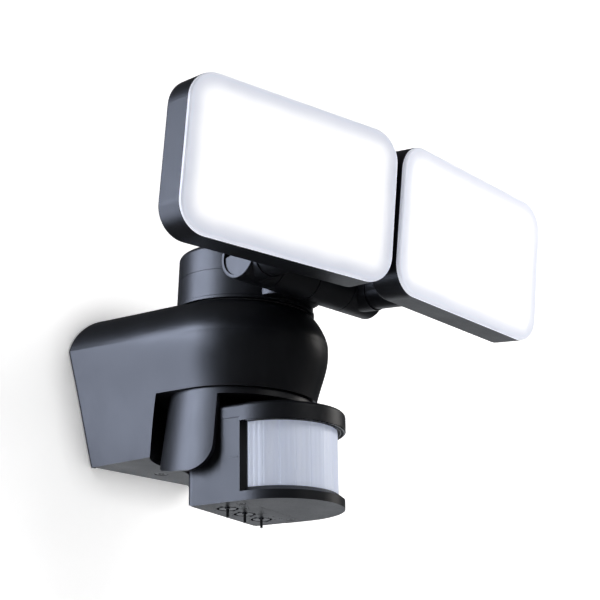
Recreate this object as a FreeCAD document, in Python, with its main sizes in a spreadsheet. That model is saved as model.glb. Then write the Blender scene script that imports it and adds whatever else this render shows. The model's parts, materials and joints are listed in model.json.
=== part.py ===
import FreeCAD, Part
import math
import os
import Sketcher
from FreeCAD import Placement, Rotation, Vector

# Twin-head wall security light with a motion sensor, millimetres, +Z up.
# Origin: middle of the housing's rear face, which lies on the wall (the plane Y = 0).
# The light looks along -Y. The turret and the sensor yoke both turn about one vertical axis.

doc = FreeCAD.newDocument("security_light")
sheet = doc.addObject("Spreadsheet::Sheet", "dims")
SUB_PARTS = []


class Size:
    """A number together with the spreadsheet expression that gives it."""

    def __init__(self, value, text):
        self.value = value
        self.text = text

    def __float__(self):
        return float(self.value)

    def join(self, other, sign, work, swap=False):
        right = other if isinstance(other, Size) else Size(other, repr(float(other)))
        first, second = (right, self) if swap else (self, right)
        return Size(work(first.value, second.value), "(%s %s %s)" % (first.text, sign, second.text))

    def __add__(self, other):
        return self.join(other, "+", lambda a, b: a + b)

    def __radd__(self, other):
        return self.join(other, "+", lambda a, b: a + b, True)

    def __sub__(self, other):
        return self.join(other, "-", lambda a, b: a - b)

    def __rsub__(self, other):
        return self.join(other, "-", lambda a, b: a - b, True)

    def __mul__(self, other):
        return self.join(other, "*", lambda a, b: a * b)

    def __rmul__(self, other):
        return self.join(other, "*", lambda a, b: a * b, True)

    def __truediv__(self, other):
        return self.join(other, "/", lambda a, b: a / b)

    def __neg__(self):
        return Size(-self.value, "(0 - %s)" % self.text)


def dim(alias, value):
    """Write one driving dimension to the next row of the sheet and return it."""
    row = len(DIMS) + 1
    sheet.set("A%d" % row, str(value))
    sheet.setAlias("A%d" % row, alias)
    DIMS.append(alias)
    return Size(value, "dims." + alias)


DIMS = []

# Housing
axis_depth = dim("axis_depth", 92.0)
lock_depth = dim("lock_depth", 19.0)
gasket_gap = dim("gasket_gap", 1.5)
wall = dim("wall", 2.5)
crease_level = dim("crease_level", 22.0)
lip_level = dim("lip_level", -11.5)
floor_level = dim("floor_level", -49.0)
cover_thick = dim("cover_thick", 2.6)
plate_thick = dim("plate_thick", 2.5)
board_width = dim("board_width", 74.0)
board_length = dim("board_length", 46.0)
seat_level = dim("seat_level", 43.0)
recess_radius = dim("recess_radius", 54.5)
seam_gap = dim("seam_gap", 0.25)
# Turret and crossbar
turret_radius = dim("turret_radius", 42.8)
turret_bottom = dim("turret_bottom", 44.2)
turret_seam = dim("turret_seam", 63.0)
turret_top = dim("turret_top", 79.7)
shell_wall = dim("shell_wall", 2.4)
stem_radius = dim("stem_radius", 17.0)
bar_reach = dim("bar_reach", 53.2)
bar_level = dim("bar_level", 59.4)
bar_radius = dim("bar_radius", 14.0)
bar_end = dim("bar_end", 57.0)
elbow_start = dim("elbow_start", 30.0)
elbow_split = dim("elbow_split", 43.5)
axle_radius = dim("axle_radius", 8.0)
run_fit = dim("run_fit", 0.05)
boss_radius = dim("boss_radius", 12.6)
boss_reach = dim("boss_reach", 17.0)
stub_radius = dim("stub_radius", 11.8)
# Lamp heads
head_width = dim("head_width", 150.0)
head_height = dim("head_height", 92.0)
head_depth = dim("head_depth", 22.5)
head_corner = dim("head_corner", 18.0)
head_wall = dim("head_wall", 2.2)
diffuser_thick = dim("diffuser_thick", 2.4)
head_x = dim("head_x", 77.5)
head_reach = dim("head_reach", 121.6)
head_level = dim("head_level", 84.3)
toe_out = dim("toe_out", 5.75)
tilt_down = dim("tilt_down", 3.4)
# Sensor
pan_rest = dim("pan_rest", 17.7)
tilt_rest = dim("tilt_rest", 2.9)
sensor_reach = dim("sensor_reach", 26.3)
sensor_floor = dim("sensor_floor", -81.7)
sensor_radius = dim("sensor_radius", 40.8)
sensor_back = dim("sensor_back", 40.0)
block_seam = dim("block_seam", 16.0)
skirt_height = dim("skirt_height", 5.5)
lens_low = dim("lens_low", 8.4)
lens_high = dim("lens_high", 47.5)
visor_seam = dim("visor_seam", 50.0)
sensor_height = dim("sensor_height", 58.4)
lens_radius = dim("lens_radius", 37.1)
visor_radius = dim("visor_radius", 42.0)
window_edge = dim("window_edge", 3.3)
sensor_wall = dim("sensor_wall", 2.2)
collar_radius = dim("collar_radius", 44.6)
collar_thick = dim("collar_thick", 4.0)
ear_bottom_radius = dim("ear_bottom_radius", 48.4)
ear_low = dim("ear_low", -62.0)
ear_thick = dim("ear_thick", 3.3)
ear_front = dim("ear_front", 8.5)
ear_corner = dim("ear_corner", 16.0)
pivot_height = dim("pivot_height", 41.4)
pin_radius = dim("pin_radius", 3.0)
pin_end = dim("pin_end", 45.9)
dial_pitch = dim("dial_pitch", 21.0)
dial_row = dim("dial_row", 22.5)
dial_radius = dim("dial_radius", 5.2)
dial_turn = 28.0
screw_row = dim("screw_row", 7.5)
screw_reach = dim("screw_reach", 31.5)
doc.recompute()

SIDES = (("left", -1), ("right", 1))
TURN = {
    "X": Rotation(Vector(0, 1, 0), 90),
    "Y": Rotation(Vector(1, 0, 0), -90),
    "Z": Rotation(),
}


def bind(obj, prop, size):
    """Tie a property to the sheet, or set it when the size is a plain number."""
    if isinstance(size, Size):
        obj.setExpression(prop, size.text)
    else:
        obj.setExpression(prop, "%r" % float(size))


def place(obj, start, axis="Z"):
    obj.Placement = Placement(Vector(*[float(value) for value in start]), TURN[axis])
    for letter, size in zip("xyz", start):
        if isinstance(size, Size):
            bind(obj, "Placement.Base." + letter, size)
    return obj


def cylinder(radius, length, start, axis="Z"):
    """Cylinder from its start point along +axis."""
    obj = doc.addObject("Part::Cylinder", "cylinder")
    bind(obj, "Radius", radius)
    bind(obj, "Height", length)
    return place(obj, start, axis)


def cone(radius_low, radius_high, length, start, axis="Z"):
    obj = doc.addObject("Part::Cone", "cone")
    bind(obj, "Radius1", radius_low)
    bind(obj, "Radius2", radius_high)
    bind(obj, "Height", length)
    return place(obj, start, axis)


def box(low, high):
    """Box between two opposite corners."""
    obj = doc.addObject("Part::Box", "box")
    for prop, a, b in zip(("Length", "Width", "Height"), low, high):
        bind(obj, prop, b - a)
    return place(obj, low)


def cut(base, *tools):
    obj = doc.addObject("Part::Cut", "cut")
    obj.Base = base
    obj.Tool = tools[0] if len(tools) == 1 else fuse(*tools)
    return obj


def fuse(*pieces):
    obj = doc.addObject("Part::MultiFuse", "fuse")
    obj.Shapes = list(pieces)
    return obj


def common(*pieces):
    obj = doc.addObject("Part::MultiCommon", "common")
    obj.Shapes = list(pieces)
    return obj


def group(*pieces):
    """Separate solids that share one node."""
    obj = doc.addObject("Part::Compound", "group")
    obj.Links = list(pieces)
    return obj


def moved(obj, placement):
    """The same piece carried to another place."""
    carrier = group(obj)
    carrier.Placement = placement
    return carrier


def form(shape):
    obj = doc.addObject("Part::Feature", "form")
    obj.Shape = shape
    return obj


def sub_part(obj, label, placement=None):
    """Name a finished piece; its label is its file's name."""
    obj.Label = label
    if placement is not None:
        obj.Placement = placement
    SUB_PARTS.append(obj)
    return obj


def edges_where(obj, test):
    """Numbers of the edges whose middle point passes the test."""
    doc.recompute()
    found = []
    for number, edge in enumerate(obj.Shape.Edges, 1):
        span = edge.ParameterRange
        middle = edge.valueAt((span[0] + span[1]) / 2)
        if test(edge, middle):
            found.append(number)
    return found


def rounded(obj, radius, test):
    """Part fillet of one radius on the edges that pass the test."""
    numbers = edges_where(obj, test)
    fillet = doc.addObject("Part::Fillet", "fillet")
    fillet.Base = obj
    fillet.Edges = [(number, float(radius), float(radius)) for number in numbers]
    return fillet


def body(name):
    return doc.addObject("PartDesign::Body", name)


def sketch(owner, role, offset=None):
    """Sketch on one of the body's own origin planes, shifted along the plane's normal."""
    obj = owner.newObject("Sketcher::SketchObject", owner.Name + "_sketch")
    plane = [item for item in owner.Origin.OriginFeatures if item.Role == role][0]
    obj.AttachmentSupport = [(plane, "")]
    obj.MapMode = "FlatFace"
    if offset is not None:
        bind(obj, "AttachmentOffset.Base.z", offset)
    return obj


def pin_point(obj, geometry, point, x, y):
    """Fix one sketch point at (x, y) with bound distances."""
    for kind, size, axis in (("DistanceX", x, -2), ("DistanceY", y, -1)):
        if abs(float(size)) < 1e-9:
            obj.addConstraint(Sketcher.Constraint("PointOnObject", geometry, point, axis))
            continue
        number = obj.addConstraint(Sketcher.Constraint(kind, -1, 1, geometry, point, float(size)))
        if isinstance(size, Size):
            obj.setExpression("Constraints[%d]" % number, size.text)


def outline(obj, points):
    """Closed polygon whose corners are bound to the sheet."""
    first = obj.GeometryCount
    total = len(points)
    for index, (x, y) in enumerate(points):
        nx, ny = points[(index + 1) % total]
        line = Part.LineSegment(Vector(float(x), float(y), 0), Vector(float(nx), float(ny), 0))
        obj.addGeometry(line, False)
    for index in range(total):
        nxt = first + (index + 1) % total
        obj.addConstraint(Sketcher.Constraint("Coincident", first + index, 2, nxt, 1))
    for index, (x, y) in enumerate(points):
        pin_point(obj, first + index, 1, x, y)


def circle(obj, radius, x=0.0, y=0.0):
    number = obj.addGeometry(Part.Circle(Vector(float(x), float(y), 0), Vector(0, 0, 1), float(radius)), False)
    if abs(float(x)) + abs(float(y)) < 1e-9:
        obj.addConstraint(Sketcher.Constraint("Coincident", number, 3, -1, 1))
    else:
        pin_point(obj, number, 3, x, y)
    datum = obj.addConstraint(Sketcher.Constraint("Radius", number, float(radius)))
    if isinstance(radius, Size):
        obj.setExpression("Constraints[%d]" % datum, radius.text)


def rectangle(obj, width, height):
    """Rectangle centred on the sketch origin."""
    x, y = width / 2, height / 2
    outline(obj, [(-x, -y), (x, -y), (x, y), (-x, y)])


def pad(owner, profile, length, reverse=False):
    feature = owner.newObject("PartDesign::Pad", owner.Name + "_pad")
    feature.Profile = profile
    bind(feature, "Length", length)
    feature.Reversed = reverse
    owner.Tip = feature
    doc.recompute()
    return feature


def pocket(owner, profile, length, reverse=False):
    """Pocket that must take material away."""
    before = owner.Shape.Volume
    feature = owner.newObject("PartDesign::Pocket", owner.Name + "_pocket")
    feature.Profile = profile
    bind(feature, "Length", length)
    feature.Reversed = reverse
    owner.Tip = feature
    doc.recompute()
    if owner.Shape.Volume >= before - 0.01:
        raise RuntimeError(owner.Name + ": a pocket cuts nothing")
    return feature


def revolve(owner, profile, axis="V_Axis"):
    feature = owner.newObject("PartDesign::Revolution", owner.Name + "_turned")
    feature.Profile = profile
    feature.ReferenceAxis = (profile, [axis])
    feature.Angle = 360
    owner.Tip = feature
    doc.recompute()
    return feature


def dress(owner, kind, size, test):
    """PartDesign fillet or chamfer on the edges that pass the test."""
    doc.recompute()
    base = owner.Tip
    names = []
    for number, edge in enumerate(base.Shape.Edges, 1):
        span = edge.ParameterRange
        if test(edge, edge.valueAt((span[0] + span[1]) / 2)):
            names.append("Edge%d" % number)
    feature = owner.newObject("PartDesign::" + kind, owner.Name + "_" + kind.lower())
    feature.Base = (base, names)
    bind(feature, "Radius" if kind == "Fillet" else "Size", size)
    owner.Tip = feature
    doc.recompute()
    return feature


def turned(label, points, placement):
    """Ring or disc turned about the local Z axis from a half section in (radius, height)."""
    owner = body(label)
    profile = sketch(owner, "XZ_Plane")
    outline(profile, points)
    revolve(owner, profile)
    return sub_part(owner, label, placement)


def ring_points(outer, inner, low, high):
    return [(inner, low), (outer, low), (outer, high), (inner, high)]


def screw(head_radius, head_height_mm, shank_radius, shank_length, start, axis="Z", flip=False):
    """Pan-head screw: head on the side the axis points to (or away from), with a cross recess."""
    sign = -1.0 if flip else 1.0
    index = "XYZ".index(axis)

    def shifted(distance):
        point = list(start)
        point[index] = point[index] + distance
        return point

    head_start = shifted(0.0 if not flip else -head_height_mm)
    shank_start = shifted(-shank_length if not flip else 0.0)
    head = cylinder(head_radius, head_height_mm, head_start, axis)
    shank = cylinder(shank_radius, shank_length, shank_start, axis)
    slot_deep = head_height_mm * 0.55
    middle = shifted(sign * (head_height_mm - slot_deep / 2))
    slots = []
    for along in [letter for letter in range(3) if letter != index]:
        low, high = list(middle), list(middle)
        for letter in range(3):
            half = head_radius * 0.62 if letter == along else head_radius * 0.14
            if letter == index:
                half = slot_deep / 2 + 0.05
            low[letter] = middle[letter] - half
            high[letter] = middle[letter] + half
        slots.append(box(low, high))
    return cut(fuse(head, shank), fuse(*slots))


# ---------------------------------------------------------------- housing

def d_section(front_radius, wall_half, level, lean):
    """Plan outline: round front about the turret axis, straight flanks flaring to the wall."""
    depth = float(axis_depth)
    back = depth - float(gasket_gap)
    reach = math.hypot(wall_half, back)
    angle = math.atan2(back, wall_half) - math.acos(front_radius / reach)
    tangent = Vector(front_radius * math.cos(angle), front_radius * math.sin(angle), 0)
    corner = Vector(wall_half, back, 0)
    nose = Vector(0, -front_radius, 0)
    mirror = [Vector(-point.x, point.y, 0) for point in (tangent, corner)]
    edges = [
        Part.LineSegment(mirror[1], mirror[0]).toShape(),
        Part.Arc(mirror[0], nose, tangent).toShape(),
        Part.LineSegment(tangent, corner).toShape(),
        Part.LineSegment(corner, mirror[1]).toShape(),
    ]
    wire = Part.Wire(edges)
    wire.Placement = Placement(Vector(0, -depth, level), Rotation(Vector(1, 0, 0), lean))
    return wire


LOWER_SECTIONS = (
    (-49.0, 43.5, 42.5),
    (-30.0, 44.8, 49.0),
    (-11.5, 46.8, 55.0),
    (6.0, 51.2, 61.0),
    (22.0, 53.0, 66.5),
)
UPPER_SECTIONS = (
    (22.0, 53.0, 66.5, 0.0),
    (30.5, 51.3, 62.5, 0.8),
    (37.5, 47.8, 55.5, 1.5),
    (42.5, 44.0, 46.0, 2.1),
    (45.0, 39.0, 34.0, 2.5),
)


def housing_form(inset):
    """Outer skin of the housing, or its parallel skin further in."""
    lower = [d_section(r - inset, b - inset, z, 0.0) for z, r, b in LOWER_SECTIONS]
    upper = []
    for z, r, b, lean in UPPER_SECTIONS:
        upper.append(d_section(r - inset, b - inset, z - inset * (z - 22.0) / 23.0, lean))
    return Part.makeLoft(lower, True).fuse(Part.makeLoft(upper, True))


def about_axis(radius, low, high):
    """Vertical cylinder about the turret axis between two levels."""
    return cylinder(radius, high - low, (0.0, -axis_depth, low))


def housing():
    outer = form(housing_form(0.0))
    inner = form(housing_form(float(wall)))
    recess = about_axis(recess_radius, floor_level - 5, lip_level)
    recess_skin = about_axis(recess_radius + wall, floor_level - 6, lip_level + wall)
    roof_pad = about_axis(turret_radius + 3, seat_level - 3.2, seat_level + 10)
    hollow = cut(inner, recess_skin, roof_pad)
    seat_cut = about_axis(turret_radius + 1.2, seat_level, seat_level + 12)
    stem_hole = about_axis(stem_radius + 0.4, seat_level - 8, seat_level + 8)
    yoke_hole = about_axis(stem_radius + 0.4, lip_level - 3, lip_level + 8)
    rebate_zone = box((-80.0, -170.0, floor_level - 2), (80.0, 1.0, floor_level + cover_thick + seam_gap))
    rebate = common(form(housing_form(0.6)), rebate_zone)
    nose_cut = box((-80.0, -170.0, floor_level - 2), (80.0, -axis_depth, lip_level))
    rear_cut = box((-80.0, -gasket_gap - 0.15, floor_level - 2), (80.0, 2.0, 60.0))
    shell = cut(outer, fuse(recess, nose_cut), hollow, seat_cut, stem_hole, yoke_hole, rebate, rear_cut)
    sub_part(shell, "housing_shell")

    slab = box((-80.0, -170.0, floor_level + 0.2), (80.0, 1.0, floor_level + cover_thick))
    wells = [
        cylinder(4.6, 1.7, (0.0, -lock_depth, floor_level)),
        cylinder(1.9, 4.0, (0.0, -lock_depth, floor_level)),
    ]
    cover = cut(common(form(housing_form(1.1)), slab), fuse(recess, nose_cut), fuse(*wells))
    sub_part(cover, "bottom_cover")

    lock = screw(4.0, 1.3, 1.7, 9.0, (0.0, -lock_depth, floor_level + 1.7), "Z", True)
    sub_part(lock, "lock_screw")

    rim = rear_slice(0.4, gasket_gap, -60.0)
    middle = moved(form(housing_form(3.2)), Placement(Vector(0, 4.0, 0), Rotation()))
    sub_part(cut(rim, middle), "wall_gasket")


def rear_slice(inset, thick, low):
    """Flat slice of the housing's outline, its rear face on the wall."""
    rear = -gasket_gap - 0.2
    zone = box((-80.0, rear - thick, low), (80.0, rear, 60.0))
    slice_form = common(form(housing_form(inset)), zone)
    return moved(slice_form, Placement(Vector(0, -float(rear), 0), Rotation()))


def wall_plate():
    """Zinc-plated plate that is screwed to the wall first; the housing locks onto its bottom tab."""
    plate = rear_slice(float(wall) + 1.2, plate_thick, -45.0)
    tab = box((-9.0, -31.0, -45.4), (9.0, -0.5, -43.0))
    arms = [box((x - 4.0, -60.0, 6.4), (x + 4.0, -1.0, 8.0)) for x in (-33.0, 33.0)]
    holes = [cylinder(2.5, 8.0, (x, -7.0, z), "Y") for x in (-38.0, 38.0) for z in (-24.0, 24.0)]
    holes.append(cylinder(12.0, 8.0, (0.0, -7.0, 0.0), "Y"))
    holes.append(cylinder(1.72, 12.0, (0.0, -lock_depth, -48.5)))
    sub_part(cut(fuse(plate, tab, *arms), fuse(*holes)), "wall_plate")
    grommet = [
        (7.0, 0.2), (11.9, 0.2), (11.9, plate_thick), (14.5, plate_thick),
        (14.5, 4.2), (9.6, 7.5), (7.0, 7.5),
    ]
    turned("cable_grommet", grommet, Placement(Vector(), Rotation(Vector(1, 0, 0), 90)))


def inside_housing():
    block = box((-34.0, -24.0, -30.0), (-4.0, -plate_thick, -14.0))
    ways = [cylinder(2.6, 6.0, (-29.0 + 10.0 * n, -25.0, -22.0), "Y") for n in range(3)]
    threads = [cylinder(1.45, 7.0, (-29.0 + 10.0 * n, -16.0, -20.1)) for n in range(3)]
    sub_part(cut(block, fuse(*ways, *threads)), "terminal_block")
    heads = [screw(2.4, 1.2, 1.4, 6.0, (-29.0 + 10.0 * n, -16.0, -14.0)) for n in range(3)]
    sub_part(group(*heads), "terminal_screws")

    board = body("driver_board")
    profile = sketch(board, "XY_Plane")
    rectangle(profile, board_width, board_length)
    pad(board, profile, 1.6)
    holes = sketch(board, "XY_Plane", 1.6)
    for x in (-33.0, 33.0):
        for y in (-19.0, 19.0):
            circle(holes, 1.6, x, y)
    pocket(board, holes, 3.0)
    sub_part(board, "driver_board", Placement(Vector(0, -38.0, 8.0), Rotation()))
    coil = box((-14.0, -50.0, 9.7), (10.0, -28.0, 27.0))
    caps = [cylinder(5.0, 18.0, (22.0, -30.0 - 13.0 * n, 9.7)) for n in range(2)]
    relay = box((-33.0, -48.0, 9.7), (-19.0, -28.0, 25.0))
    sub_part(group(rounded(coil, 1.5, lambda edge, p: True), relay, *caps), "board_components")


# ---------------------------------------------------------------- turret

AT_AXIS = Placement(Vector(0, -float(axis_depth), 0), Rotation())


def turret():
    ring_seal = ring_points(turret_radius - 1.2, turret_radius - 5, seat_level, turret_bottom - 0.3)
    turned("turret_seal", ring_seal, AT_AXIS)

    outer = turret_radius
    inner = turret_radius - shell_wall
    flange = outer + 0.8
    points = [
        (stem_radius - 4, seat_level - 3.4), (stem_radius, seat_level - 3.4),
        (stem_radius, turret_bottom), (flange, turret_bottom),
        (flange, turret_bottom + 1.6), (outer, turret_bottom + 2.1),
        (outer, turret_seam - seam_gap), (inner, turret_seam - seam_gap),
        (inner, turret_bottom + 2.4), (stem_radius - 4, turret_bottom + 2.4),
    ]
    owner = body("turret_turning")
    profile = sketch(owner, "XZ_Plane")
    outline(profile, points)
    revolve(owner, profile)
    owner.Placement = AT_AXIS
    core = about_axis(inner, turret_bottom + 2.4, turret_seam + 5)
    bar_y = -axis_depth - bar_reach
    plan = cylinder(21.0, 14.0, (0.0, -axis_depth - 36, turret_bottom + 2.4))
    slope = cylinder(bar_radius + 0.6, 44.0, (-22.0, bar_y + 0.6, bar_level), "X")
    block = box((-22.0, bar_y, bar_level - bar_radius + 1.2), (22.0, -axis_depth - 30, turret_seam - seam_gap))
    behind = box((-30.0, bar_y - 2, turret_bottom), (30.0, -axis_depth, turret_seam))
    saddle = common(plan, fuse(slope, block), behind)
    cradle = cylinder(bar_radius + 0.05, 2 * elbow_start, (-elbow_start, bar_y, bar_level), "X")
    wire_way = cylinder(5.0, 20.0, (0.0, bar_y, bar_level), "Y")
    stem_spots = []
    for angle in (30.0, 150.0, 270.0):
        turn = math.radians(angle)
        stem_spots.append(((stem_radius - 2) * math.cos(turn), (stem_radius - 2) * math.sin(turn) - axis_depth))
    threads = [cylinder(0.95, 6.5, (x, y, seat_level - 7)) for x, y in stem_spots]
    sub_part(cut(fuse(owner, cut(saddle, core)), cradle, wire_way, *threads), "turret_ring")

    cap = body("turret_cap_turning")
    profile = sketch(cap, "XZ_Plane")
    top_inner = inner - 1.2
    outline(profile, [
        (0.0, turret_top), (0.0, turret_top - shell_wall), (top_inner, turret_top - shell_wall),
        (inner, turret_top - shell_wall - 1.5), (inner, turret_seam), (outer, turret_seam), (outer, turret_top),
    ])
    revolve(cap, profile)
    dress(cap, "Fillet", 3.2, lambda edge, p: abs(p.z - float(turret_top)) < 0.01 and p.Length > 1)
    cap.Placement = AT_AXIS
    notch = cylinder(bar_radius + 0.3, 2 * elbow_start, (-elbow_start, bar_y, bar_level), "X")
    dimple = cylinder(12.0, 1.0, (0.0, -axis_depth, turret_top - 0.6))
    sub_part(cut(cap, notch, dimple), "turret_cap")

    washer = about_axis(25.0, seat_level - 6, seat_level - 3.4)
    middle = about_axis(stem_radius - 4, seat_level - 7, seat_level - 3)
    threads = [cylinder(0.95, 6.5, (x, y, seat_level - 7)) for x, y in stem_spots]
    sub_part(cut(washer, middle, *threads), "turret_retainer")
    screws = [screw(1.7, 1.2, 0.9, 4.4, (x, y, seat_level - 6), "Z", True) for x, y in stem_spots]
    sub_part(group(*screws), "retainer_screws")

    slot = cylinder(4.8, 20.0, (0.0, bar_y, bar_level), "Y")
    for side, sign in SIDES:
        low = 0.45 if sign > 0 else -elbow_start + 0.35
        length = elbow_start - 0.8
        tube = cylinder(bar_radius, length, (low, bar_y, bar_level), "X")
        bore = cylinder(axle_radius + 0.05, length + 2, (low - 1, bar_y, bar_level), "X")
        sub_part(cut(tube, bore, slot), side + "_sleeve")
    half = elbow_split + 7.5
    axle = cylinder(axle_radius, 2 * half, (-half, bar_y, bar_level), "X")
    hollow = cylinder(axle_radius - 2, 2 * half + 2, (-half - 1, bar_y, bar_level), "X")
    ports = [cylinder(4.0, 20.0, (sign * elbow_split, bar_y - 20, bar_level), "Y") for _, sign in SIDES]
    sub_part(cut(axle, hollow, fuse(slot, *ports)), "hinge_axle")


# ---------------------------------------------------------------- elbow arms and lamp heads

def head_rotation(sign):
    """Turns a head drawn facing -Y to its toed-out, tilted-down rest direction."""
    toed = Rotation(Vector(0, 0, 1), sign * float(toe_out))
    return toed.multiply(Rotation(Vector(1, 0, 0), float(tilt_down)))


def head_placement(sign):
    base = Vector(sign * float(head_x), -float(axis_depth) - float(head_reach), float(head_level))
    return Placement(base, head_rotation(sign))


def arm_placement(sign):
    """Local frame of a stub: origin where it meets the crossbar axis, -Y along the stub."""
    base = Vector(sign * float(elbow_split), -float(axis_depth) - float(bar_reach), float(bar_level))
    return Placement(base, head_rotation(sign))


def arm_offset(sign):
    """Stub axis in the head's own frame: x, y and z of the crossbar crossing."""
    return head_placement(sign).inverse().multVec(arm_placement(sign).Base)


def span_x(sign, near, far):
    """Lower x and length of a stretch of the crossbar between two distances from the middle."""
    low = near if sign > 0 else -far
    return low, far - near


def elbow(side, sign):
    axis_y = -axis_depth - bar_reach
    boss = cylinder(boss_radius, boss_reach, (0.0, -boss_reach, 0.0), "Y")
    boss = moved(boss, arm_placement(sign))
    socket = cylinder(7.05, boss_reach + 2, (0.0, -boss_reach - 2, 0.0), "Y")
    socket = moved(socket, arm_placement(sign))
    low, length = span_x(sign, elbow_start + 0.35, bar_end)
    tube = rounded(cylinder(bar_radius, length, (low, axis_y, bar_level), "X"), 0.7,
                   lambda edge, p: abs(abs(p.x) - float(bar_end)) < 0.01 and edge.Closed)
    low, length = span_x(sign, elbow_start - 1, elbow_split + 7.6)
    bore = cylinder(axle_radius + run_fit, length, (low, axis_y, bar_level), "X")
    low, length = span_x(sign, elbow_split + 9.5, bar_end + 1)
    mouth = cylinder(bar_radius - 2.2, length, (low, axis_y, bar_level), "X")
    low, length = span_x(sign, elbow_split + 6, elbow_split + 10)
    pilot = cylinder(1.2, length, (low, axis_y, bar_level + 7.2), "X")
    whole = cut(fuse(tube, boss), bore, socket, mouth, pilot)
    low, length = span_x(sign, elbow_start, elbow_split - 0.1)
    near = box((low, axis_y - 30, bar_level - 20), (low + length, axis_y + 20, bar_level + 20))
    low, length = span_x(sign, elbow_split + 0.1, bar_end + 2)
    far = box((low, axis_y - 30, bar_level - 20), (low + length, axis_y + 20, bar_level + 20))
    sub_part(common(whole, near), side + "_elbow_inner")
    sub_part(common(whole, far), side + "_elbow_outer")

    low, length = span_x(sign, bar_end - 3.1, bar_end - 1.1)
    disc = cylinder(bar_radius - 2.55, length, (low, axis_y, bar_level), "X")
    chord = box((-80.0, -25.0, 2.4), (80.0, 25.0, 25.0))
    chord = moved(chord, Placement(Vector(0, float(axis_y), float(bar_level)), Rotation(Vector(1, 0, 0), -10)))
    sub_part(cut(disc, chord), side + "_end_disc")
    fixing = screw(2.3, 1.3, 1.2, 1.8, (sign * (elbow_split + 9.5), axis_y, bar_level + 7.2), "X", sign < 0)
    sub_part(fixing, side + "_elbow_screw")
    low, length = span_x(sign, elbow_start - 0.3, elbow_start + 0.3)
    ring = cylinder(bar_radius - 0.9, length, (low, axis_y, bar_level), "X")
    hole = cylinder(axle_radius + 0.1, length + 2, (low - 1, axis_y, bar_level), "X")
    sub_part(cut(ring, hole), side + "_elbow_seal")


def plate_outline(width, height, corner, thick, back):
    """Rounded rectangular plate facing -Y, its rear face at the given depth."""
    slab = box((-width / 2, back - thick, -height / 2), (width / 2, back, height / 2))
    return rounded(slab, corner, lambda edge, p: abs(edge.tangentAt(edge.FirstParameter).y) > 0.9)


def inner_outline(gap, thick, back):
    """Plate that fits inside the head's side wall with the given gap all round."""
    inset = head_wall + gap
    return plate_outline(head_width - 2 * inset, head_height - 2 * inset, head_corner - inset, thick, back)


def lamp_head(side, sign):
    where = head_placement(sign)
    stub_x, stub_y, stub_z = arm_offset(sign)

    slab = plate_outline(head_width, head_height, head_corner, head_depth - diffuser_thick - 0.15, head_depth)
    slab = rounded(slab, 1.8, lambda edge, p: abs(p.y - float(head_depth)) < 0.01)
    hollow = inner_outline(0.0, head_depth - diffuser_thick - 2.6, head_depth - 2.6)
    stem_hole = cylinder(7.1, 8.0, (stub_x, float(head_depth) - 6.0, stub_z), "Y")
    spots = [(x, z) for x in (-62.0, 62.0) for z in (-32.0, 32.0)]
    posts = [cylinder(3.6, head_depth - 13.5, (x, 11.5, z), "Y") for x, z in spots]
    bores = [cylinder(1.5, 6.5, (x, head_depth - 6.0, z), "Y") for x, z in spots]
    wells = [cylinder(3.3, 1.6, (x, head_depth - 1.3, z), "Y") for x, z in spots]
    sub_part(cut(fuse(cut(slab, hollow), *posts), fuse(stem_hole, *bores, *wells)), side + "_head_shell", where)

    lid = plate_outline(head_width - 0.3, head_height - 0.3, head_corner, diffuser_thick, diffuser_thick)
    lid = rounded(lid, 1.3, lambda edge, p: abs(p.y) < 0.01)
    lip = inner_outline(0.3, 2.0, diffuser_thick + 2)
    core = inner_outline(2.3, 4.0, diffuser_thick + 3)
    sub_part(fuse(lid, cut(lip, core)), side + "_diffuser", where)

    band = inner_outline(0.2, 1.4, diffuser_thick + 3.6)
    core = inner_outline(2.6, 3.0, diffuser_thick + 4)
    sub_part(cut(band, core), side + "_head_gasket", where)

    spreader = plate_outline(134.0, 76.0, 8.0, 1.6, 11.5)
    ways = cylinder(10.5, 12.0, (stub_x, 4.0, stub_z), "Y")
    sub_part(cut(spreader, ways), side + "_heat_spreader", where)
    board = plate_outline(132.0, 74.0, 7.0, 1.2, 9.9)
    ways = cylinder(10.5, 12.0, (stub_x, 4.0, stub_z), "Y")
    sub_part(cut(board, ways), side + "_led_board", where)
    chips = []
    for column in range(7):
        for row in range(4):
            x, z = -54.0 + 18.0 * column, -27.0 + 18.0 * row
            if math.hypot(x - stub_x, z - stub_z) > 14.0:
                chips.append(box((x - 1.4, 7.9, z - 1.4), (x + 1.4, 8.7, z + 1.4)))
    sub_part(group(*chips), side + "_leds", where)

    screws = [screw(2.9, 1.1, 1.5, 4.4, (x, head_depth - 1.3, z), "Y") for x, z in spots]
    sub_part(group(*screws), side + "_head_screws", where)

    reach = stub_y - float(head_depth)
    outer = cylinder(stub_radius, reach - float(boss_reach), (0.0, -reach, 0.0), "Y")
    spigot = cylinder(7.0, 60.0, (0.0, -reach - 6.2, 0.0), "Y")
    way = cylinder(4.2, 70.0, (0.0, -62.0, 0.0), "Y")
    clear = box((-20.0, -axle_radius - 1.2, -20.0), (20.0, 10.0, 20.0))
    groove = (0.0, -boss_reach - 0.3, 0.0)
    gap_ring = cut(cylinder(stub_radius + 1, 0.3, groove, "Y"), cylinder(6.9, 0.3, groove, "Y"))
    sub_part(cut(fuse(outer, spigot), way, clear, gap_ring), side + "_stub", arm_placement(sign))
    thread = cylinder(7.0, 6.0, (0.0, -reach - 7.0, 0.0), "Y")
    nut = cut(cylinder(9.6, 2.4, (0.0, -reach - 5.0, 0.0), "Y"), thread)
    sub_part(nut, side + "_stub_nut", arm_placement(sign))


# ---------------------------------------------------------------- sensor

def yoke_placement():
    return Placement(Vector(0, -float(axis_depth), 0), Rotation(Vector(0, 0, 1), float(pan_rest)))


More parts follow.
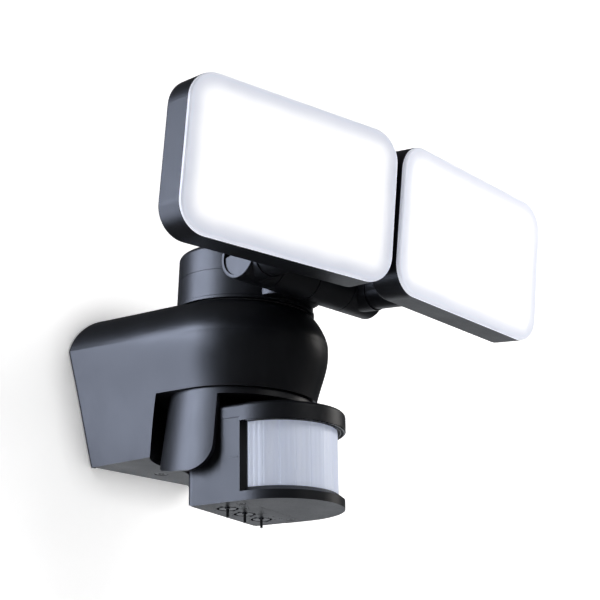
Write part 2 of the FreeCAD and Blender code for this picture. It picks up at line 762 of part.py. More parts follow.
def sensor_placement():
    """Sensor's own frame: origin under the middle of its round front, front along -Y."""
    turn = yoke_placement()
    lean = Rotation(Vector(1, 0, 0), -float(tilt_rest))
    pivot = Placement(Vector(0, 0, float(sensor_floor) + float(pivot_height)), lean)
    shift = Placement(Vector(0, -float(sensor_reach), -float(pivot_height)), Rotation())
    return turn.multiply(pivot).multiply(shift)


def yoke():
    top = lip_level - 0.4
    under = top - collar_thick
    inside_top = collar_radius - ear_thick
    inside_low = ear_bottom_radius - ear_thick
    owner = body("yoke_turning")
    profile = sketch(owner, "XZ_Plane")
    outline(profile, [
        (7.0, lip_level + wall + 0.3), (stem_radius, lip_level + wall + 0.3), (stem_radius, top),
        (collar_radius, top), (ear_bottom_radius, ear_low), (inside_low, ear_low),
        (inside_top, under), (7.0, under),
    ])
    revolve(owner, profile)
    side_cut = body("yoke_side")
    profile = sketch(side_cut, "YZ_Plane")
    front = -ear_front
    outline(profile, [
        (front, under), (front, ear_low + ear_corner), (front + ear_corner, ear_low), (22.0, ear_low + 0.8),
        (34.0, ear_low + 3.5), (41.0, ear_low + 7.5), (46.0, ear_low + 14), (60.0, ear_low + 14),
        (60.0, ear_low - 10), (-60.0, ear_low - 10), (-60.0, under),
    ])
    pad(side_cut, profile, 140.0)
    side_cut.Placement = Placement(Vector(-70.0, 0, 0), Rotation())
    trimmed = cut(owner, side_cut)
    corner = cylinder(ear_corner, 140.0, (-70.0, -ear_front + ear_corner, ear_low + ear_corner), "X")
    corner_zone = box((-70.0, -ear_front, ear_low), (70.0, -ear_front + ear_corner, ear_low + ear_corner))
    filled = common(owner, common(corner, corner_zone))
    pin_level = sensor_floor + pivot_height
    holes = cylinder(pin_radius + 0.02, 2 * pin_end + 0.2, (-pin_end - 0.1, 0.0, pin_level), "X")
    sub_part(cut(fuse(trimmed, filled), holes), "sensor_yoke", yoke_placement())
    retainer = ring_points(24.0, stem_radius - 8, lip_level + wall + 0.3, lip_level + wall + 3)
    turned("yoke_retainer", retainer, yoke_placement())
    pins = [cylinder(pin_radius, pin_end - 36.6, (x, 0.0, pin_level), "X") for x in (-pin_end, 36.6)]
    sub_part(group(*pins), "tilt_pins", yoke_placement())


def d_prism(radius, side, back, low, high):
    """Upright D-shaped prism: half-round front, flat rear at the given depth."""
    flank = box((-side, 0.0, low), (side, back, high))
    front = common(cylinder(radius, high - low, (0.0, 0.0, low)), front_half(radius, low, high))
    return fuse(front, flank)


def front_half(radius, low, high):
    return box((-radius - 5, -radius - 5, low - 1), (radius + 5, 0.0, high + 1))


def sensor_head():
    where = sensor_placement()
    half = sensor_radius - 0.9
    inner = sensor_radius - sensor_wall
    clear_x = half + 5
    plate_half = half - 1.7

    block = box((-half, block_seam, 0.0), (half, sensor_back, sensor_height - 0.4))
    block = rounded(block, 4.0, lambda edge, p: abs(p.y - float(sensor_back)) < 0.01)
    side = half - sensor_wall
    hollow = box((-side, block_seam - 1, 2.6), (side, sensor_back - sensor_wall, sensor_height - 2.8))
    bores = cylinder(pin_radius + run_fit, 2 * clear_x, (-clear_x, sensor_reach, pivot_height), "X")
    sunk = box((-plate_half - 0.2, block_seam - 1, -1.0), (plate_half + 0.2, sensor_back - 2.5, 2.6))
    sub_part(cut(block, hollow, fuse(bores, sunk)), "sensor_rear_housing", where)

    skin = d_prism(sensor_radius, sensor_radius, block_seam - 0.2, 0.0, visor_seam - 0.15)
    hollow = d_prism(inner - 1.8, inner, block_seam + 1, 2.4, visor_seam + 2)
    window = box((-60.0, -60.0, skirt_height), (60.0, window_edge, visor_seam + 1))
    rear_sink = box((-plate_half - 0.2, 2.7, -1.0), (plate_half + 0.2, 40.0, 2.4))
    opened = cut(skin, hollow, window, rear_sink)
    ledge = cone(sensor_radius, lens_radius - 0.2, lens_low - skirt_height - 0.1, (0.0, 0.0, skirt_height))
    ledge_core = cylinder(lens_radius - 3.4, 10.0, (0.0, 0.0, 2.0))
    rim = common(cut(ledge, ledge_core), front_half(sensor_radius, skirt_height, lens_low))
    cheeks = []
    for sign in (-1, 1):
        low = float(skirt_height)
        corners = [(40.8, 3.4), (37.6, 0.2), (33.8, 0.2), (33.8, 3.4), (40.8, 3.4)]
        profile = Part.makePolygon([Vector(sign * x, y, low) for x, y in corners])
        cheeks.append(form(Part.Face(profile).extrude(Vector(0, 0, float(lens_high) - 0.15 - low))))
    bosses = []
    for low, high in ((-39.2, -28.5), (28.5, 39.2)):
        boss = box((low, screw_row - 3, 2.5), (high, screw_row + 3, 10.0))
        bosses.append(boss)
    threads = [cylinder(1.25, 9.0, (screw_reach * n, screw_row, 1.0)) for n in (-1, 1)]
    sub_part(cut(fuse(opened, rim, *cheeks, *bosses), *threads), "sensor_front_housing", where)

    facets = 12
    corners = []
    outward, homeward = range(facets + 1), range(facets, -1, -1)
    for radius, steps in ((float(lens_radius), outward), (float(lens_radius) - 1.4, homeward)):
        for number in steps:
            angle = math.pi * number / facets
            corners.append(Vector(-radius * math.cos(angle), -radius * math.sin(angle), float(lens_low)))
    corners.append(corners[0])
    lens = Part.Face(Part.makePolygon(corners)).extrude(Vector(0, 0, float(lens_high) - float(lens_low) + 0.2))
    sub_part(group(form(lens)), "pir_lens", where)

    cap = d_prism(visor_radius, visor_radius - 0.9, block_seam - 0.2, visor_seam, sensor_height)
    brim = common(cylinder(visor_radius, visor_seam - lens_high, (0.0, 0.0, lens_high)),
                  box((-60.0, -60.0, lens_high), (60.0, window_edge - 0.2, visor_seam)))
    crown = rounded(fuse(cap, brim), 2.4, lambda edge, p: (
        abs(p.z - float(sensor_height)) < 0.01 and p.y < float(block_seam) - 1))
    lip_cut = cylinder(visor_radius - 1.8, 1.6, (0.0, 0.0, lens_high - 0.1))
    inside = d_prism(lens_radius - 3, lens_radius - 3, block_seam + 2, lens_high - 1, sensor_height - 2.8)
    slit = d_prism(lens_radius - 1.2, 30.0, 10.0, lens_high - 1, lens_high + 0.3)
    sub_part(cut(crown, fuse(inside, lip_cut), slit), "sensor_visor", where)

    plate = box((-plate_half, 2.9, 0.0), (plate_half, sensor_back - 2.7, 2.2))
    recesses = [cylinder(dial_radius + 1.5, 1.4, (dial_pitch * n, dial_row, -0.2)) for n in (-1, 0, 1)]
    shafts = [cylinder(2.05, 4.0, (dial_pitch * n, dial_row, -1.0)) for n in (-1, 0, 1)]
    wells = [cylinder(2.8, 1.7, (screw_reach * n, screw_row, -0.5)) for n in (-1, 1)]
    wells += [cylinder(1.3, 4.0, (screw_reach * n, screw_row, -0.5)) for n in (-1, 1)]
    slots = []
    for n in (-1, 0, 1):
        x = dial_pitch * n
        slots.append(box((x - 8.6, dial_row - 0.9, -0.2), (x + 8.6, dial_row + 0.9, 0.6)))
    sub_part(cut(plate, fuse(*recesses), fuse(*shafts), fuse(*wells), fuse(*slots)), "dial_plate", where)

    blade_outline = [(-3.5, 0.5), (-1.7, -5.2), (1.7, -5.2), (3.5, 0.5), (-3.5, 0.5)]
    arrow_outline = [(-3.4, -1.6), (-6.0, 0.0), (-3.4, 1.6), (-3.4, -1.6)]
    for number, name in ((-1, "time_dial"), (0, "range_dial"), (1, "dusk_dial")):
        disc = cylinder(dial_radius, 1.0, (0.0, 0.0, 0.0))
        shaft = cylinder(2.0, 8.0, (0.0, 0.0, 0.5))
        blade = Part.makePolygon([Vector(a, -0.8, b) for a, b in blade_outline])
        arrow = Part.makePolygon([Vector(a, b, -0.6) for a, b in arrow_outline])
        grip = form(Part.Face(blade).extrude(Vector(0, 1.6, 0)))
        pointer = form(Part.Face(arrow).extrude(Vector(0, 0, 1.1)))
        middle = Vector(float(dial_pitch) * number, float(dial_row), 0)
        seat = Placement(middle, Rotation(Vector(0, 0, 1), dial_turn))
        sub_part(group(moved(fuse(disc, shaft, grip, pointer), seat)), name, where)

    screws = [screw(2.4, 1.1, 1.2, 8.0, (screw_reach * n, screw_row, 1.2), "Z", True) for n in (-1, 1)]
    sub_part(group(*screws), "sensor_screws", where)

    board = box((-30.0, 6.0, 12.0), (30.0, 7.6, 44.0))
    socket = box((-12.0, 7.6, 15.0), (12.0, 13.0, 20.0))
    sub_part(fuse(board, socket), "pir_board", where)
    cans = []
    for x in (-20.0, 0.0, 20.0):
        can = fuse(cylinder(4.1, 3.6, (x, 1.9, 29.0), "Y"), cylinder(4.6, 0.5, (x, 5.5, 29.0), "Y"))
        cans.append(can)
    sub_part(group(*cans), "pir_detectors", where)


housing()
wall_plate()
inside_housing()
turret()
for side, sign in SIDES:
    elbow(side, sign)
    lamp_head(side, sign)
yoke()
sensor_head()

doc.recompute()
for obj in doc.Objects:
    if "Invalid" in obj.State or "Error" in obj.State:
        raise RuntimeError("%s (%s) did not compute: %s" % (obj.Name, obj.Label, obj.State))
labels = [obj.Label for obj in SUB_PARTS]
if len(set(labels)) != len(labels):
    raise RuntimeError("two sub-parts share a label")
for obj in SUB_PARTS:
    if obj.Shape.isNull() or not obj.Shape.isValid() or not obj.Shape.Solids:
        raise RuntimeError(obj.Label + " has no valid solid")

os.makedirs("parts", exist_ok=True)
for obj in SUB_PARTS:
    obj.Shape.exportStep("parts/%s.step" % obj.Label)
    limits = obj.Shape.BoundBox
    print("%-22s solids %2d  volume %9.1f  x %7.1f %7.1f  y %7.1f %7.1f  z %7.1f %7.1f" % (
        obj.Label, len(obj.Shape.Solids), obj.Shape.Volume,
        limits.XMin, limits.XMax, limits.YMin, limits.YMax, limits.ZMin, limits.ZMax))
print(len(SUB_PARTS), "sub-parts written")
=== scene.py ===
import json
import math

import bpy
from mathutils import Matrix, Vector


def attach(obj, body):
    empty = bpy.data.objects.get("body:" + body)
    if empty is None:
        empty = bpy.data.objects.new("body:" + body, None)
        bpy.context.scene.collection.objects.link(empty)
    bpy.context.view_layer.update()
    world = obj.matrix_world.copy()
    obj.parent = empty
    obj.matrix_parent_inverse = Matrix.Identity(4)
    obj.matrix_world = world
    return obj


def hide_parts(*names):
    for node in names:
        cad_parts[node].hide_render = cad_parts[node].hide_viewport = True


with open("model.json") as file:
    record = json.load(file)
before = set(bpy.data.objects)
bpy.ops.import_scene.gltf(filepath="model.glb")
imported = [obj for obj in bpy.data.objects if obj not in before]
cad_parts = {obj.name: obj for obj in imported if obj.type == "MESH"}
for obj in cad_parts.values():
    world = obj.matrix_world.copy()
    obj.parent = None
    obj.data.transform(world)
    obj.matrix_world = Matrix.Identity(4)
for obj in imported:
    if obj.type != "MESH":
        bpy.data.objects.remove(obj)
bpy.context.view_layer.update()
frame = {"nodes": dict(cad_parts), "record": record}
nodes = frame["nodes"]


# ---------------------------------------------------------------- materials

class Shader:
    """Small helper for building one material's node tree."""

    def __init__(self, name):
        self.material = bpy.data.materials.new(name)
        self.material.use_nodes = True
        self.tree = self.material.node_tree
        self.bsdf = self.tree.nodes["Principled BSDF"]
        self.place = self.tree.nodes.new("ShaderNodeTexCoord").outputs["Object"]

    def link(self, source, socket):
        self.tree.links.new(source, socket)

    def setting(self, name, value):
        self.bsdf.inputs[name].default_value = value

    def noise(self, scale, detail=2.0, rough=0.5, stretch=None):
        node = self.tree.nodes.new("ShaderNodeTexNoise")
        node.inputs["Scale"].default_value = scale
        node.inputs["Detail"].default_value = detail
        node.inputs["Roughness"].default_value = rough
        source = self.place
        if stretch:
            mapping = self.tree.nodes.new("ShaderNodeMapping")
            mapping.inputs["Scale"].default_value = stretch
            self.link(source, mapping.inputs["Vector"])
            source = mapping.outputs["Vector"]
        self.link(source, node.inputs["Vector"])
        return node.outputs["Fac"]

    def ramp(self, source, stops):
        node = self.tree.nodes.new("ShaderNodeValToRGB")
        elements = node.color_ramp.elements
        while len(elements) < len(stops):
            elements.new(0.5)
        for element, (position, colour) in zip(elements, stops):
            element.position = position
            shade = colour if isinstance(colour, tuple) else (colour, colour, colour)
            element.color = (*shade, 1.0)
        self.link(source, node.inputs["Fac"])
        return node.outputs["Color"]

    def math(self, kind, a, b=None):
        node = self.tree.nodes.new("ShaderNodeMath")
        node.operation = kind
        for socket, value in zip(node.inputs, (a, b)):
            if value is None:
                continue
            if isinstance(value, (int, float)):
                socket.default_value = value
            else:
                self.link(value, socket)
        return node.outputs["Value"]

    def span(self, source, low, high, start=0.0, end=1.0):
        node = self.tree.nodes.new("ShaderNodeMapRange")
        for name, value in (("From Min", low), ("From Max", high), ("To Min", start), ("To Max", end)):
            node.inputs[name].default_value = value
        self.link(source, node.inputs["Value"])
        return node.outputs["Result"]

    def bump(self, height, distance, strength=1.0, before=None):
        node = self.tree.nodes.new("ShaderNodeBump")
        node.inputs["Distance"].default_value = distance
        node.inputs["Strength"].default_value = strength
        self.link(height, node.inputs["Height"])
        if before is not None:
            self.link(before, node.inputs["Normal"])
        return node.outputs["Normal"]


def moulded(name, dark, light, rough_low, rough_high, grain, depth, specular=0.5):
    """Injection-moulded plastic: eroded grain, faint flow marks, uneven gloss."""
    s = Shader(name)
    flow = s.noise(38.0, 4.0, 0.6)
    fine = s.noise(grain, 3.0, 0.55)
    s.link(s.ramp(flow, [(0.3, dark), (0.7, light)]), s.bsdf.inputs["Base Color"])
    scuffs = s.noise(420.0, 5.0, 0.7, (1.0, 1.0, 0.15))
    uneven = s.math("ADD", s.math("MULTIPLY", flow, 0.6), s.math("MULTIPLY", scuffs, 0.4))
    s.link(s.span(uneven, 0.3, 0.7, rough_low, rough_high), s.bsdf.inputs["Roughness"])
    s.setting("Specular IOR Level", specular)
    wave = s.bump(flow, 0.0001, 0.25)
    s.link(s.bump(fine, depth, 0.6, wave), s.bsdf.inputs["Normal"])
    return s.material


def metal(name, colour, low, high, scale, stretch):
    """Plated or bare metal with streaks in colour, gloss and height."""
    s = Shader(name)
    streaks = s.noise(scale, 4.0, 0.6, stretch)
    darker = tuple(part * 0.82 for part in colour)
    s.link(s.ramp(streaks, [(0.3, darker), (0.7, colour)]), s.bsdf.inputs["Base Color"])
    s.setting("Metallic", 1.0)
    s.link(s.span(streaks, 0.3, 0.7, low, high), s.bsdf.inputs["Roughness"])
    s.link(s.bump(streaks, 0.00004, 0.4), s.bsdf.inputs["Normal"])
    return s.material


CASE = moulded("case_plastic", (0.0055, 0.006, 0.008), (0.008, 0.009, 0.012),
               0.34, 0.44, 2600.0, 0.00006)
CASE_SMOOTH = moulded("case_plastic_smooth", (0.005, 0.0055, 0.007), (0.0065, 0.0072, 0.0095),
                      0.22, 0.32, 3600.0, 0.00002)
RUBBER = moulded("rubber", (0.010, 0.010, 0.011), (0.018, 0.018, 0.018),
                 0.72, 0.88, 1400.0, 0.00006, 0.3)
NYLON = moulded("nylon", (0.60, 0.59, 0.55), (0.68, 0.67, 0.63), 0.38, 0.5, 900.0, 0.00004)
BOARD = moulded("circuit_board", (0.012, 0.10, 0.045), (0.02, 0.15, 0.07), 0.28, 0.42, 700.0, 0.00003)
COMPONENT = moulded("component", (0.012, 0.012, 0.013), (0.03, 0.03, 0.032), 0.35, 0.5, 900.0, 0.00004)
LED_BOARD = moulded("led_board_white", (0.72, 0.73, 0.72), (0.78, 0.79, 0.78),
                    0.35, 0.45, 800.0, 0.00002)
LED_CHIP = moulded("led_chip", (0.75, 0.60, 0.16), (0.85, 0.70, 0.22), 0.2, 0.3, 500.0, 0.00002)
DIAL = moulded("dial_plastic", (0.010, 0.011, 0.013), (0.016, 0.017, 0.021), 0.30, 0.42, 3000.0, 0.00003)
BLACK_STEEL = moulded("black_steel", (0.006, 0.006, 0.007), (0.012, 0.012, 0.013),
                      0.28, 0.4, 1200.0, 0.00003)
ZINC = metal("zinc_steel", (0.62, 0.62, 0.60), 0.28, 0.48, 260.0, (1.0, 1.0, 6.0))
STEEL = metal("screw_steel", (0.42, 0.42, 0.44), 0.25, 0.42, 900.0, (1.0, 1.0, 1.0))
HEAT = metal("heat_plate", (0.75, 0.75, 0.77), 0.3, 0.45, 300.0, (6.0, 1.0, 1.0))


def rounded_distance(s, half_x, half_z, corner, centre, turn):
    """Distance inside a rounded rectangle's edge, measured in the head's own plane."""
    mapping = s.tree.nodes.new("ShaderNodeMapping")
    mapping.vector_type = "TEXTURE"
    mapping.inputs["Location"].default_value = centre
    mapping.inputs["Rotation"].default_value = turn
    s.link(s.place, mapping.inputs["Vector"])
    split = s.tree.nodes.new("ShaderNodeSeparateXYZ")
    s.link(mapping.outputs["Vector"], split.inputs["Vector"])
    sides = []
    for axis, half in (("X", half_x), ("Z", half_z)):
        away = s.math("SUBTRACT", s.math("ABSOLUTE", split.outputs[axis]), half - corner)
        sides.append(away)
    outside = [s.math("MAXIMUM", away, 0.0) for away in sides]
    squares = [s.math("MULTIPLY", away, away) for away in outside]
    length = s.math("SQRT", s.math("ADD", *squares))
    inside = s.math("MINIMUM", s.math("MAXIMUM", *sides), 0.0)
    signed = s.math("SUBTRACT", s.math("ADD", length, inside), corner)
    return s.math("MULTIPLY", signed, -1.0)


TOE_OUT, TILT_DOWN = 5.75, 3.4
HEAD_X, HEAD_Y, HEAD_LEVEL = 0.0775, -0.092 - 0.1216, 0.0843
HEAD_HALF_WIDTH, HEAD_HALF_HEIGHT, HEAD_CORNER = 0.075, 0.046, 0.018
BORDER = 0.016


def opal(name, side):
    """Opal diffuser with a painted glow: white middle that fades to a cooler, greyer border, and a painted
    highlight along the rim.
    """
    s = Shader(name)
    toed = Matrix.Rotation(math.radians(TOE_OUT * side), 3, "Z")
    turn = toed @ Matrix.Rotation(math.radians(TILT_DOWN), 3, "X")
    centre = (side * HEAD_X, HEAD_Y, HEAD_LEVEL)
    depth = rounded_distance(s, HEAD_HALF_WIDTH, HEAD_HALF_HEIGHT, HEAD_CORNER, centre, turn.to_euler("XYZ"))
    cloud = s.noise(60.0, 3.0, 0.5)
    soft = s.math("ADD", depth, s.math("MULTIPLY", s.math("SUBTRACT", cloud, 0.5), 0.004))
    across = s.span(soft, 0.0, BORDER)
    # The lighter edge of this tint is a painted highlight along the rim; the tint also colours the painted
    # glow.
    tint = s.ramp(across, [(0.0, (0.83, 0.86, 0.95)), (0.10, (0.76, 0.79, 0.90)), (0.28, (0.78, 0.81, 0.90)),
                           (0.60, (0.93, 0.94, 0.98)), (1.0, (1.0, 1.0, 1.0))])
    s.link(tint, s.bsdf.inputs["Base Color"])
    # Painted glow: the diffuser's emission is strongest in the middle, weakest in the border band and a
    # little stronger again at the rim.
    s.link(tint, s.bsdf.inputs["Emission Color"])
    glow = s.ramp(across, [(0.0, 0.30), (0.12, 0.25), (0.35, 0.30), (0.7, 0.46), (1.0, 0.52)])
    s.link(glow, s.bsdf.inputs["Emission Strength"])
    s.link(s.span(cloud, 0.3, 0.7, 0.30, 0.38), s.bsdf.inputs["Roughness"])
    s.link(s.bump(s.noise(1800.0, 2.0), 0.00002, 0.5), s.bsdf.inputs["Normal"])
    return s.material


OPAL = {-1: opal("opal_diffuser_left", -1), 1: opal("opal_diffuser_right", 1)}


def milky_lens():
    """Milky bluish polyethylene with faint vertical bands and a faint painted bluish glow."""
    s = Shader("lens_plastic")
    bands = s.noise(70.0, 3.0, 0.5, (1.0, 1.0, 0.08))
    s.link(s.ramp(bands, [(0.3, (0.60, 0.65, 0.80)), (0.7, (0.68, 0.72, 0.84))]), s.bsdf.inputs["Base Color"])
    s.link(s.span(s.noise(300.0, 3.0), 0.3, 0.7, 0.34, 0.42), s.bsdf.inputs["Roughness"])
    # Painted glow: a faint bluish emission brightens the lens, which is no lamp.
    s.setting("Emission Color", (0.70, 0.78, 1.0, 1.0))
    s.setting("Emission Strength", 0.22)
    s.setting("Subsurface Weight", 0.35)
    s.setting("Subsurface Radius", (0.004, 0.004, 0.005))
    s.setting("Subsurface Scale", 1.0)
    ridges = s.noise(900.0, 2.0, 0.5, (1.0, 1.0, 0.05))
    s.link(s.bump(ridges, 0.00001, 0.15), s.bsdf.inputs["Normal"])
    return s.material


LENS = milky_lens()

BY_SLOT = {
    "case_plastic": CASE, "rubber": RUBBER, "zinc_steel": ZINC, "screw_steel": STEEL, "nylon": NYLON,
    "circuit_board": BOARD, "component": COMPONENT, "heat_plate": HEAT, "led_board_white": LED_BOARD,
    "led_chip": LED_CHIP, "lens_plastic": LENS, "black_steel": BLACK_STEEL, "detector_metal": STEEL,
    "dial_plastic": DIAL,
}


def paint(obj, material):
    obj.data.materials.clear()
    obj.data.materials.append(material)


for entry in frame["record"]["subparts"]:
    node, slot = entry["node"], entry["material_slot"]
    if slot == "opal_diffuser":
        paint(nodes[node], OPAL[-1 if node.startswith("left") else 1])
    else:
        paint(nodes[node], BY_SLOT[slot])


# ---------------------------------------------------------------- details that ride on the sensor

# The sensor's own frame, in millimetres: origin under the middle of its round front, front along -Y.
MM = 0.001
SENSOR = (
    Matrix.Translation((0.0, -0.092, 0.0)) @ Matrix.Rotation(math.radians(17.7), 4, "Z")
    @ Matrix.Translation((0.0, 0.0, -0.0403)) @ Matrix.Rotation(math.radians(-2.9), 4, "X")
    @ Matrix.Translation((0.0, -0.0263, -0.0414))
)


def solid(name, points, faces, material):
    """Mesh from points in the sensor's own frame, riding on the sensor."""
    mesh = bpy.data.meshes.new(name)
    mesh.from_pydata([SENSOR @ (Vector(point) * MM) for point in points], [], faces)
    mesh.update()
    obj = bpy.data.objects.new(name, mesh)
    bpy.context.collection.objects.link(obj)
    paint(obj, material)
    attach(obj, "sensor")
    return obj


def swept(name, section, steps, point_at, material):
    """Closed section carried along an open path; point_at(step, corner) gives each point."""
    points, faces = [], []
    total = len(section)
    for step in range(steps):
        points += [point_at(step, corner) for corner in section]
    for here in range(0, (steps - 1) * total, total):
        there = here + total
        for k in range(total):
            n = (k + 1) % total
            faces.append((here + k, here + n, there + n, there + k))
    faces.append(tuple(reversed(range(total))))
    faces.append(tuple(range((steps - 1) * total, steps * total)))
    return solid(name, points, faces, material)


LENS_RADIUS = 37.1
LENS_THICK = 1.3
LENS_LOW, LENS_HIGH = 8.45, 47.45
FACETS = 12
COLUMNS_PER_FACET = 3
COLUMN_DOME = 0.10
FACET_GROOVE = 0.16
LENS_STEPS = FACETS * 36 + 1


def lens_radius(angle):
    """Outer radius of the faceted lens: flat facets, each with a few slightly domed columns."""
    pitch = math.pi / FACETS
    within = angle / pitch % 1.0
    flat = LENS_RADIUS * math.cos(pitch / 2) / math.cos((within - 0.5) * pitch)
    column = within * COLUMNS_PER_FACET % 1.0
    dome = COLUMN_DOME * math.sin(math.pi * column)
    groove = FACET_GROOVE if min(within, 1 - within) < 0.03 else 0.0
    return flat + dome - groove


def lens_point(step, corner):
    angle = math.pi * step / (LENS_STEPS - 1)
    radius = lens_radius(angle) - corner[0]
    return (-radius * math.cos(angle), -radius * math.sin(angle), corner[1])


lens_section = [(0.0, LENS_LOW), (0.0, LENS_HIGH), (LENS_THICK, LENS_HIGH), (LENS_THICK, LENS_LOW)]
lens_piece = swept("faceted_lens", lens_section, LENS_STEPS, lens_point, LENS)
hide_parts("pir_lens")


def rib(name, inner, outer, low, high, start=2.0, end=178.0, steps=97):
    """Raised rib on an arc round the front, between two angles in degrees."""
    section = [(inner, low), (outer, low), (outer, high), (inner, high)]

    def at(step, corner):
        angle = math.radians(start + (end - start) * step / (steps - 1))
        return (-corner[0] * math.cos(angle), -corner[0] * math.sin(angle), corner[1])

    swept(name, section, steps, at, CASE_SMOOTH)


rib("visor_rib_outer", 40.9, 41.5, 46.9, 47.55)
rib("visor_rib_inner", 38.7, 39.2, 46.9, 47.65)
rib("skirt_rib", 38.4, 38.9, 5.6, 6.9, 6.0, 174.0)


def block_points(low, high):
    return [(x, y, z) for z in (low[2], high[2]) for x, y in
            ((low[0], low[1]), (high[0], low[1]), (high[0], high[1]), (low[0], high[1]))]


BLOCK_FACES = [(3, 2, 1, 0), (4, 5, 6, 7), (0, 1, 5, 4), (1, 2, 6, 5), (2, 3, 7, 6), (3, 0, 4, 7)]


def blocks(name, boxes, material):
    """Several small bars, each turned about the vertical through its own middle, in one piece."""
    points, faces = [], []
    for low, high, turn in boxes:
        centre = (Vector(low) + Vector(high)) / 2
        spin = Matrix.Translation(centre) @ Matrix.Rotation(math.radians(turn), 4, "Z")
        spin = spin @ Matrix.Translation(-centre)
        start = len(points)
        points += [tuple(spin @ Vector(point)) for point in block_points(low, high)]
        faces += [tuple(start + index for index in face) for face in BLOCK_FACES]
    return solid(name, points, faces, material)


side_latches = [((x, 4.6, 26.0), (x + 0.4, 11.0, 26.7), 0) for x in (-41.0, 40.6)]
blocks("side_latches", side_latches, CASE)

DIAL_PITCH, DIAL_ROW = 21.0, 22.5
MARK_RADIUS = 8.4
MARKS_PER_DIAL = 7
MARK_LOW, MARK_HIGH = -0.09, 0.03

marks = []
for dial_x in (-DIAL_PITCH, 0.0, DIAL_PITCH):
    for number in range(MARKS_PER_DIAL):
        turn = math.radians(-150 + 50 * number)
        cx = dial_x + MARK_RADIUS * math.sin(turn)
        cy = DIAL_ROW + MARK_RADIUS * math.cos(turn)
        half = 0.35 + 0.08 * number
        tick = ((cx - half, cy - 0.22, MARK_LOW), (cx + half, cy + 0.22, MARK_HIGH), 90 - math.degrees(turn))
        marks.append(tick)
    # A minus on the left, a plus on the right.
    bars = ((-5.5, 11.2, -3.0, 11.7), (3.0, 11.2, 5.5, 11.7), (4.0, 10.2, 4.5, 12.7))
    for left, near_y, right, far_y in bars:
        marks.append(((dial_x + left, near_y, MARK_LOW), (dial_x + right, far_y, MARK_HIGH), 0))
blocks("dial_marks", marks, CASE_SMOOTH)

# ---------------------------------------------------------------- stage

FLOOR_LEVEL = -0.75
WALL_GAP = 0.0005


def panel(name, corners, material, faces=((0, 1, 2, 3),)):
    """Piece of the studio, not part of the object."""
    mesh = bpy.data.meshes.new(name)
    mesh.from_pydata([Vector(corner) for corner in corners], [], faces)
    obj = bpy.data.objects.new(name, mesh)
    bpy.context.collection.objects.link(obj)
    paint(obj, material)
    return obj


def pale(name):
    s = Shader(name)
    tone = s.ramp(s.noise(9.0, 4.0), [(0.3, (0.90, 0.90, 0.905)), (0.7, (0.92, 0.92, 0.92))])
    s.link(tone, s.bsdf.inputs["Base Color"])
    s.setting("Roughness", 0.9)
    s.setting("Specular IOR Level", 0.1)
    return s


def wall_with_painted_shadow():
    """Pale glowing paint with a painted contact shadow close to the object, seen through from behind."""
    s = pale("wall_with_painted_shadow")
    s.setting("Emission Color", (1.0, 1.0, 1.0, 1.0))
    # Painted shadow: ambient occlusion dims the wall's glow close to the object.
    near = s.tree.nodes.new("ShaderNodeAmbientOcclusion")
    near.inputs["Distance"].default_value = 0.024
    near.samples = 8
    s.link(s.span(near.outputs["AO"], 0.3, 1.0, 0.12, 0.66), s.bsdf.inputs["Emission Strength"])
    facing = s.tree.nodes.new("ShaderNodeNewGeometry").outputs["Backfacing"]
    clear = s.tree.nodes.new("ShaderNodeBsdfTransparent")
    mixed = s.tree.nodes.new("ShaderNodeMixShader")
    s.link(facing, mixed.inputs["Fac"])
    s.link(s.bsdf.outputs["BSDF"], mixed.inputs[1])
    s.link(clear.outputs["BSDF"], mixed.inputs[2])
    s.link(mixed.outputs["Shader"], s.tree.nodes["Material Output"].inputs["Surface"])
    return s.material


def room_paint():
    """Even pale glow for the studio's far walls."""
    s = Shader("room_paint")
    s.setting("Base Color", (0.0, 0.0, 0.0, 1.0))
    glow = s.ramp(s.noise(0.4, 2.0), [(0.3, 0.86), (0.7, 0.90)])
    s.link(glow, s.bsdf.inputs["Emission Color"])
    s.setting("Emission Strength", 1.0)
    return s.material


floor_corners = [(x, y, FLOOR_LEVEL) for x, y in ((-6, -6), (6, -6), (6, 6), (-6, 6))]
floor = panel("floor", floor_corners, pale("floor_paint").material)
floor.visible_glossy = False

wall_outline = ((-2.5, FLOOR_LEVEL), (2.5, FLOOR_LEVEL), (2.5, 2.2), (-2.5, 2.2))
wall_corners = [(x, WALL_GAP, z) for x, z in wall_outline]
wall = panel("wall", wall_corners, wall_with_painted_shadow())
wall.visible_glossy = False
wall.visible_shadow = False

room_corners = [(x, y, z) for z in (-1.5, 7.0) for x, y in ((-9, -9), (9, -9), (9, 9), (-9, 9))]
room_faces = [(0, 1, 5, 4), (1, 2, 6, 5), (2, 3, 7, 6), (3, 0, 4, 7), (4, 5, 6, 7), (0, 3, 2, 1)]
room = panel("room", room_corners, room_paint(), room_faces)
room.visible_diffuse = False
room.visible_glossy = False
room.visible_transmission = False
room.visible_shadow = False


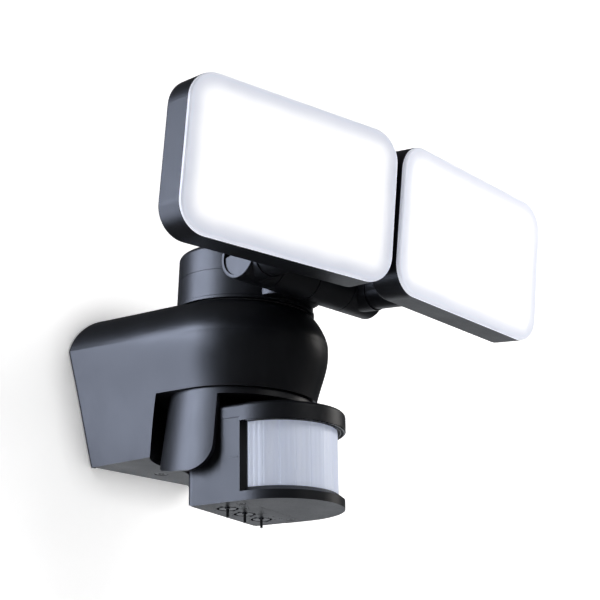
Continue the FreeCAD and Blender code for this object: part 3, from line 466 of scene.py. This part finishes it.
def softbox(name, place, width, height, power, colour, diffuse=True, glossy=True):
    """Rectangular studio light aimed at the middle of the object."""
    data = bpy.data.lights.new(name, "AREA")
    data.shape = "RECTANGLE"
    data.size, data.size_y = width, height
    data.energy = power
    data.color = colour
    obj = bpy.data.objects.new(name, data)
    bpy.context.collection.objects.link(obj)
    obj.location = place
    obj.rotation_euler = (MIDDLE - Vector(place)).to_track_quat("-Z", "Y").to_euler()
    obj.visible_camera = False
    obj.visible_diffuse = diffuse
    obj.visible_glossy = glossy


MIDDLE = Vector((0.0, -0.12, 0.0))
softbox("front_wash", (1.2, -2.5, 1.5), 1.6, 1.6, 44.0, (1.0, 0.99, 0.98), glossy=False)
softbox("right_box", (2.0, -0.8, 0.9), 0.9, 0.9, 9.0, (1.0, 0.97, 0.94))
softbox("side_low", (-1.7, 1.25, -0.40), 1.7, 1.25, 44.0, (0.70, 0.78, 1.0), diffuse=False)
softbox("side_high", (-1.75, 1.05, 0.66), 1.6, 0.6, 40.0, (0.70, 0.78, 1.0), diffuse=False)
softbox("left_box", (-2.2, 0.30, 0.45), 1.1, 1.3, 24.0, (0.72, 0.80, 1.0), diffuse=False)
softbox("low_fill", (1.9, 1.6, -0.62), 1.6, 0.7, 3.6, (0.90, 0.94, 1.0), diffuse=False)
softbox("front_box", (0.4, -2.4, 1.2), 1.2, 0.5, 4.0, (1.0, 1.0, 1.0), diffuse=False)

world = bpy.data.worlds.new("studio")
bpy.context.scene.world = world
world.use_nodes = True
back = world.node_tree.nodes["Background"]
back.inputs["Color"].default_value = (0.90, 0.93, 1.0, 1.0)
back.inputs["Strength"].default_value = 0.06
bpy.context.scene.view_settings.view_transform = "Standard"

# ---------------------------------------------------------------- camera

yaw, pitch, roll = (math.radians(value) for value in (44.50, 16.30, 1.89))
ahead = Vector((math.sin(yaw) * math.cos(pitch), math.cos(yaw) * math.cos(pitch), math.sin(pitch)))
level = Vector((math.cos(yaw), -math.sin(yaw), 0.0))
above = level.cross(ahead)
right = level * math.cos(roll) + above * math.sin(roll)
top = above * math.cos(roll) - level * math.sin(roll)
lens = bpy.data.cameras.new("photo_camera")
lens.sensor_width = 36.0
lens.lens = 99.48
camera = bpy.data.objects.new("photo_camera", lens)
bpy.context.collection.objects.link(camera)
turned = Matrix((right, top, -ahead)).transposed().to_4x4()
camera.matrix_world = Matrix.Translation((-0.680, -0.833, -0.238)) @ turned
bpy.context.scene.camera = camera

bpy.context.view_layer.update()
